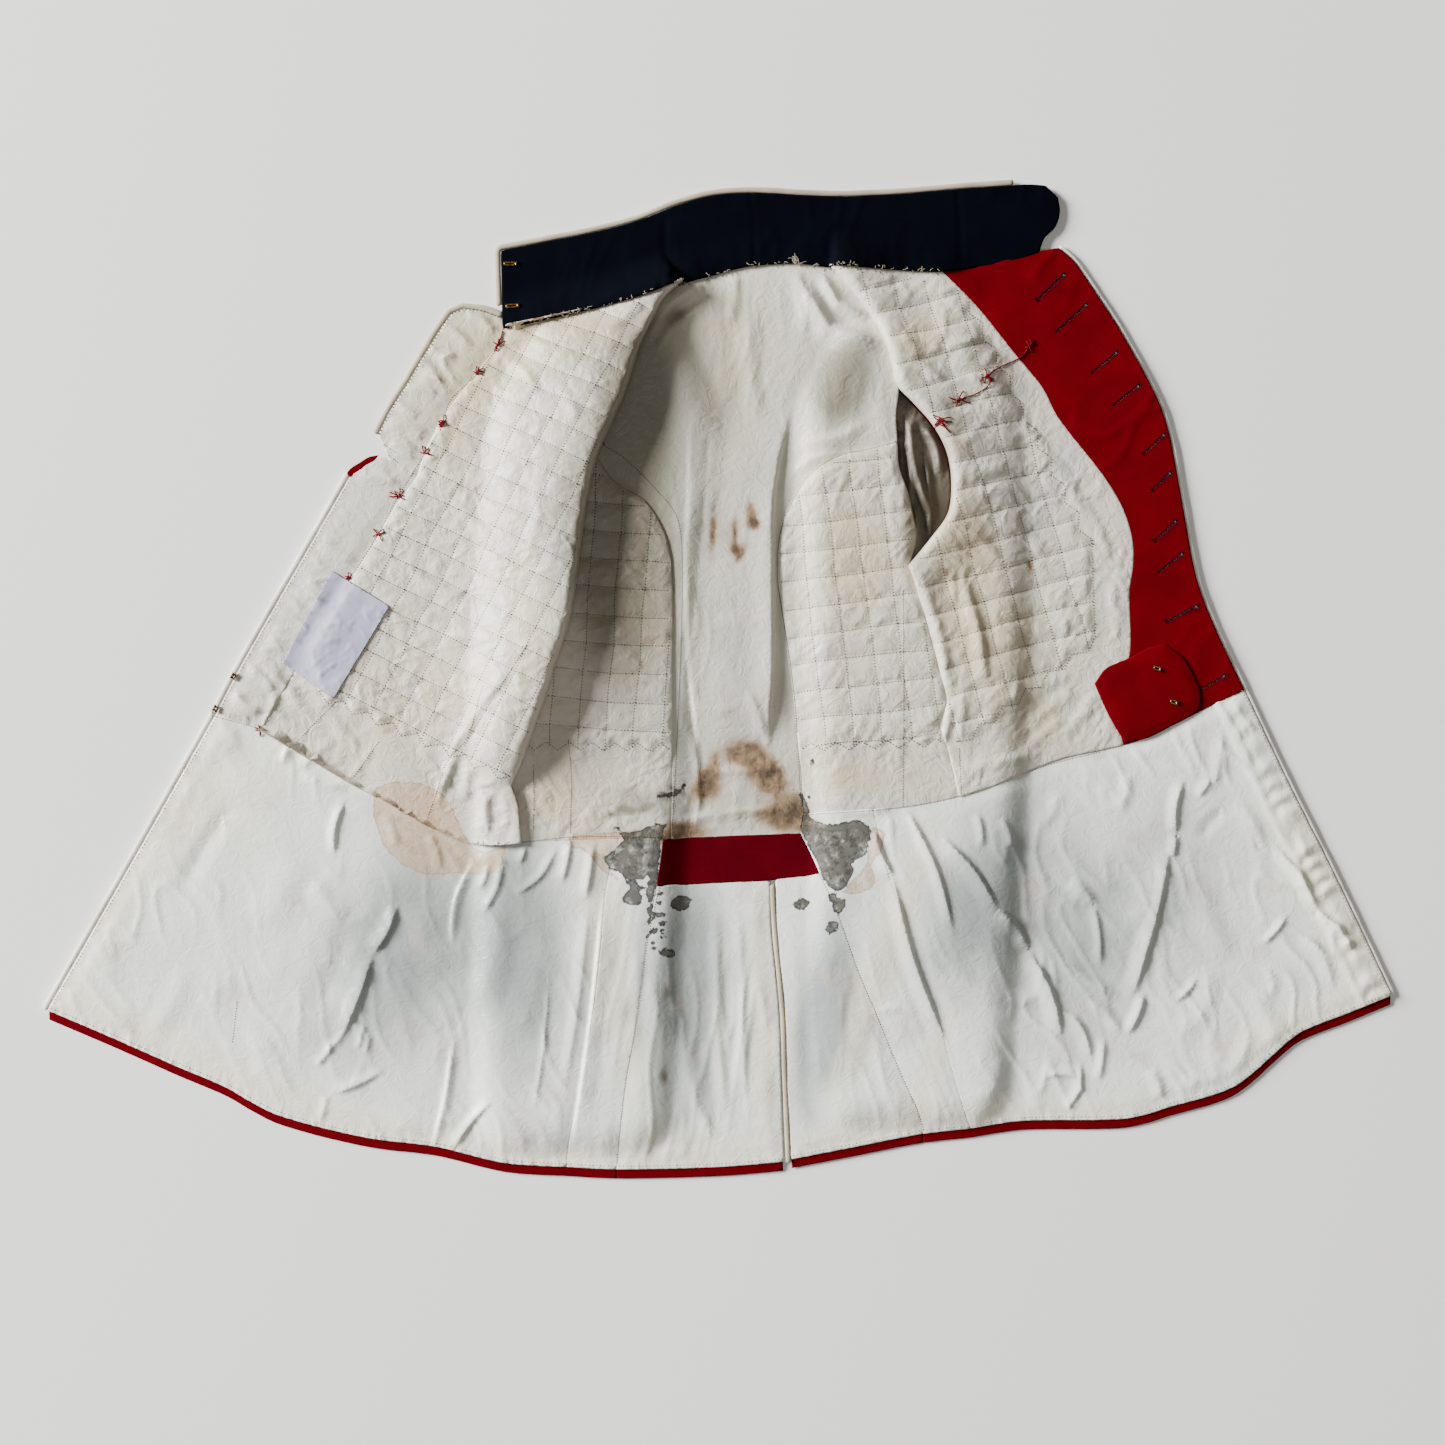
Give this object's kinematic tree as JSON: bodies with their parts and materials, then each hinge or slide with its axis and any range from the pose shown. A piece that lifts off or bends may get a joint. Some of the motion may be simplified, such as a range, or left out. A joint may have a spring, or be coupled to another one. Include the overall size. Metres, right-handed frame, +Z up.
{
  "type": "military tunic laid open",
  "caption": "Military tunic laid open flat on its outside, showing a quilted satin lining, a buttonhole facing, a stand collar and the vented skirts.",
  "frame": {"origin": "on the surface that the tunic lies on, under the middle of its outline", "axes": "+Z up out of the lining, +Y towards the collar, +X towards the buttonhole facing, which is the wearer's left front"},
  "size_m": [1.075, 0.8014, 0.0378],
  "materials": {
    "scarlet_cloth": "milled wool cloth, matt",
    "ivory_satin": "satin lining, soft sheen",
    "white_satin": "satin lining, soft sheen",
    "quilted_satin": "quilted satin lining, soft sheen",
    "navy_cloth": "fine wool cloth, matt",
    "cream_piping": "wool piping, matt",
    "label_tape": "woven label tape, bare",
    "brass_wire": "drawn wire, tarnished"
  },
  "bodies": {
    "root": {"outer_back": "scarlet_cloth", "outer_side_left": "scarlet_cloth", "outer_side_right": "scarlet_cloth", "outer_front_left": "scarlet_cloth", "outer_front_right": "scarlet_cloth", "outer_skirt_front_left": "scarlet_cloth", "outer_skirt_front_right": "scarlet_cloth", "outer_skirt_back_left": "scarlet_cloth", "outer_skirt_back_right": "scarlet_cloth", "outer_collar": "scarlet_cloth", "sleeve_left": "scarlet_cloth", "sleeve_right": "scarlet_cloth", "facing": "scarlet_cloth", "hook_tab": "scarlet_cloth", "back_waist_patch": "scarlet_cloth", "underlap_upper": "ivory_satin", "underlap_lower": "ivory_satin", "back_lining": "ivory_satin", "armhole_lining_right": "ivory_satin", "front_lining_left": "quilted_satin", "front_lining_right": "quilted_satin", "side_lining_left": "quilted_satin", "side_lining_right": "quilted_satin", "skirt_lining_front_left": "white_satin", "pleat_lining_left": "white_satin", "skirt_lining_back_left": "white_satin", "skirt_lining_back_right": "white_satin", "pleat_lining_right": "white_satin", "skirt_lining_front_right": "white_satin", "collar_lining": "navy_cloth", "collar_piping": "cream_piping", "front_piping_upper": "cream_piping", "front_piping_lower": "cream_piping", "facing_piping": "cream_piping", "skirt_piping_right": "cream_piping", "vent_piping": "cream_piping", "size_label": "label_tape", "collar_eye_upper": "brass_wire", "collar_eye_lower": "brass_wire", "edge_hook_upper": "brass_wire", "edge_hook_lower": "brass_wire", "tab_eye_upper": "brass_wire", "tab_eye_lower": "brass_wire"}
  },
  "joints": []
}
